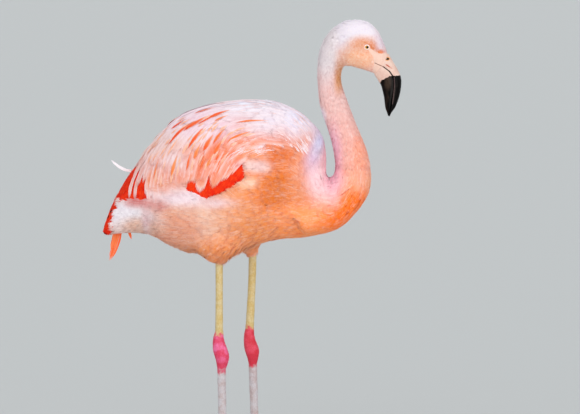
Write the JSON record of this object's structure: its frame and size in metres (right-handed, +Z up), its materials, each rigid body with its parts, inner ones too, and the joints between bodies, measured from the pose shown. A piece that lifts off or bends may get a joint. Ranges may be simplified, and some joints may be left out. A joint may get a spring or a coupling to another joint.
{
  "type": "flamingo",
  "caption": "Life-size still model of a standing Chilean flamingo: pink plumage, folded wings, long neck in an S-bend, down-bent black-tipped bill and thin legs with webbed feet.",
  "frame": {"origin": "on the floor, under the middle of the box round the bird, level with the soles of both feet", "axes": "+X the way the bird faces, +Y to the bird's left, +Z up"},
  "size_m": [0.58, 0.2052, 0.9145],
  "materials": {
    "plumage": "soft overlapping feathers, pale pink to orange",
    "wing_plumage": "long pale pink plumes with orange-red middles over crimson coverts",
    "white_plumes": "loose pinkish-white feathers",
    "crimson_plumes": "loose crimson feather",
    "bill_base": "satin horn, pale pink",
    "bill_tip": "glossy black horn",
    "eye": "wet, orange-yellow iris with a black pupil",
    "leg_skin": "scaly skin, pale yellowish grey",
    "ankle_skin": "scaly skin, crimson pink",
    "foot_skin": "scaly skin, dull red",
    "claw": "satin horn, black"
  },
  "bodies": {
    "root": {"head": "plumage", "neck_arch": "plumage", "neck_upper": "plumage", "neck_middle": "plumage", "neck_lower": "plumage", "trunk": "plumage", "tail": "white_plumes", "wing_right": "wing_plumage", "wing_left": "wing_plumage", "plume_curled": "white_plumes", "plume_hanging": "crimson_plumes", "bill_upper": "bill_base", "bill_lower": "bill_tip", "eye_right": "eye", "eye_left": "eye", "thigh_right": "plumage", "thigh_left": "plumage", "tibia_right": "leg_skin", "tibia_left": "leg_skin", "ankle_right": "ankle_skin", "ankle_left": "ankle_skin", "tarsus_right": "leg_skin", "tarsus_left": "leg_skin", "toe_inner_right": "foot_skin", "toe_inner_left": "foot_skin", "toe_middle_right": "foot_skin", "toe_middle_left": "foot_skin", "toe_outer_right": "foot_skin", "toe_outer_left": "foot_skin", "toe_hind_right": "foot_skin", "toe_hind_left": "foot_skin", "web_inner_right": "foot_skin", "web_inner_left": "foot_skin", "web_middle_right": "foot_skin", "web_middle_left": "foot_skin", "claw_inner_right": "claw", "claw_inner_left": "claw", "claw_middle_right": "claw", "claw_middle_left": "claw", "claw_outer_right": "claw", "claw_outer_left": "claw", "claw_hind_right": "claw", "claw_hind_left": "claw"}
  },
  "joints": []
}
